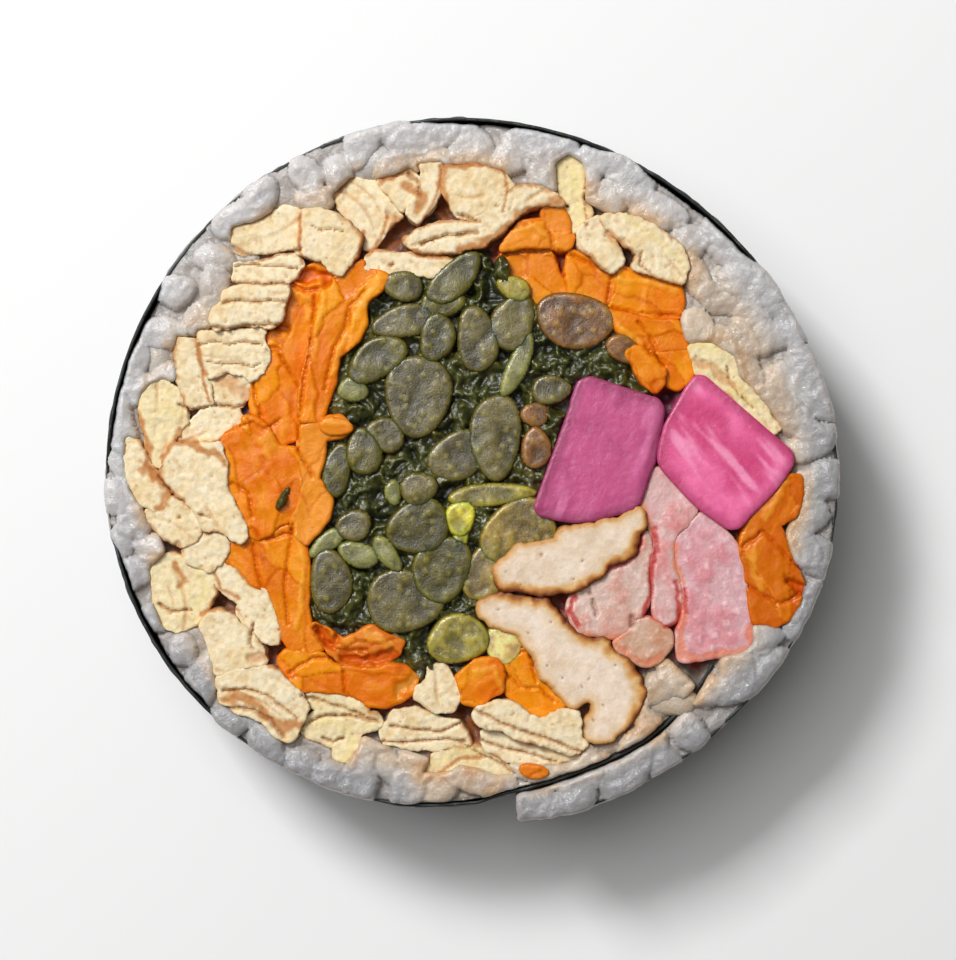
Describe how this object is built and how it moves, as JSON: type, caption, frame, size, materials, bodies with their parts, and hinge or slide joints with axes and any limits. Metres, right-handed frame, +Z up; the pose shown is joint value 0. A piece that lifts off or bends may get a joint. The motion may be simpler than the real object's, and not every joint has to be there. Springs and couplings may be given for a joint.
{
  "type": "gimbap slice",
  "caption": "Round slice of a seaweed rice roll with its packed fillings showing at the cut, lying flat to be eaten in a bite or two.",
  "frame": {"origin": "middle of the slice's bounding box seen from above, at the height of the lower cut face it rests on", "axes": "+Z up along the roll's axis, out of the upper cut face; +X towards the two pickled radish batons; +Y away from the seam where the seaweed sheet laps over itself"},
  "size_m": [0.061, 0.059, 0.0161],
  "materials": {
    "gim": "dried seaweed sheet, dark green-black, lightly oiled and wrinkled",
    "rice": "cooked short-grain rice, translucent, sticky and moist",
    "greens": "blanched spinach, wet dark leaf with cut stems",
    "radish": "pink pickled radish, translucent and wet",
    "fish_cake": "fried fish cake, springy and pale with browned skin",
    "crab_stick": "crab stick, pale pink and fibrous with a red side",
    "egg": "folded egg sheet, crumbly cream-yellow with browned skin",
    "carrot": "fried carrot strips, orange and oily"
  },
  "bodies": {
    "root": {"carrot_strip_01": "carrot", "carrot_strip_02": "carrot", "carrot_strip_03": "carrot", "carrot_strip_04": "carrot", "carrot_strip_05": "carrot", "carrot_strip_06": "carrot", "carrot_strip_07": "carrot", "carrot_strip_08": "carrot", "carrot_strip_09": "carrot", "carrot_strip_10": "carrot", "carrot_strip_11": "carrot", "carrot_strip_12": "carrot", "carrot_strip_13": "carrot", "carrot_strip_14": "carrot", "carrot_strip_15": "carrot", "carrot_strip_16": "carrot", "carrot_strip_17": "carrot", "crab_stick_01": "crab_stick", "crab_stick_02": "crab_stick", "crab_stick_03": "crab_stick", "crab_stick_04": "crab_stick", "egg_strip_01": "egg", "egg_strip_02": "egg", "egg_strip_03": "egg", "egg_strip_04": "egg", "egg_strip_05": "egg", "egg_strip_06": "egg", "egg_strip_07": "egg", "egg_strip_08": "egg", "egg_strip_09": "egg", "egg_strip_10": "egg", "egg_strip_11": "egg", "egg_strip_12": "egg", "egg_strip_13": "egg", "egg_strip_14": "egg", "egg_strip_15": "egg", "egg_strip_16": "egg", "egg_strip_17": "egg", "egg_strip_18": "egg", "egg_strip_19": "egg", "egg_strip_20": "egg", "egg_strip_21": "egg", "egg_strip_22": "egg", "egg_strip_23": "egg", "egg_strip_24": "egg", "egg_strip_25": "egg", "egg_strip_26": "egg", "egg_strip_27": "egg", "egg_strip_28": "egg", "egg_strip_29": "egg", "egg_strip_30": "egg", "egg_strip_31": "egg", "egg_strip_32": "egg", "fish_cake_01": "fish_cake", "fish_cake_02": "fish_cake", "gim_sheet": "gim", "greens": "greens", "radish_baton_01": "radish", "radish_baton_02": "radish", "rice": "rice"}
  },
  "joints": []
}
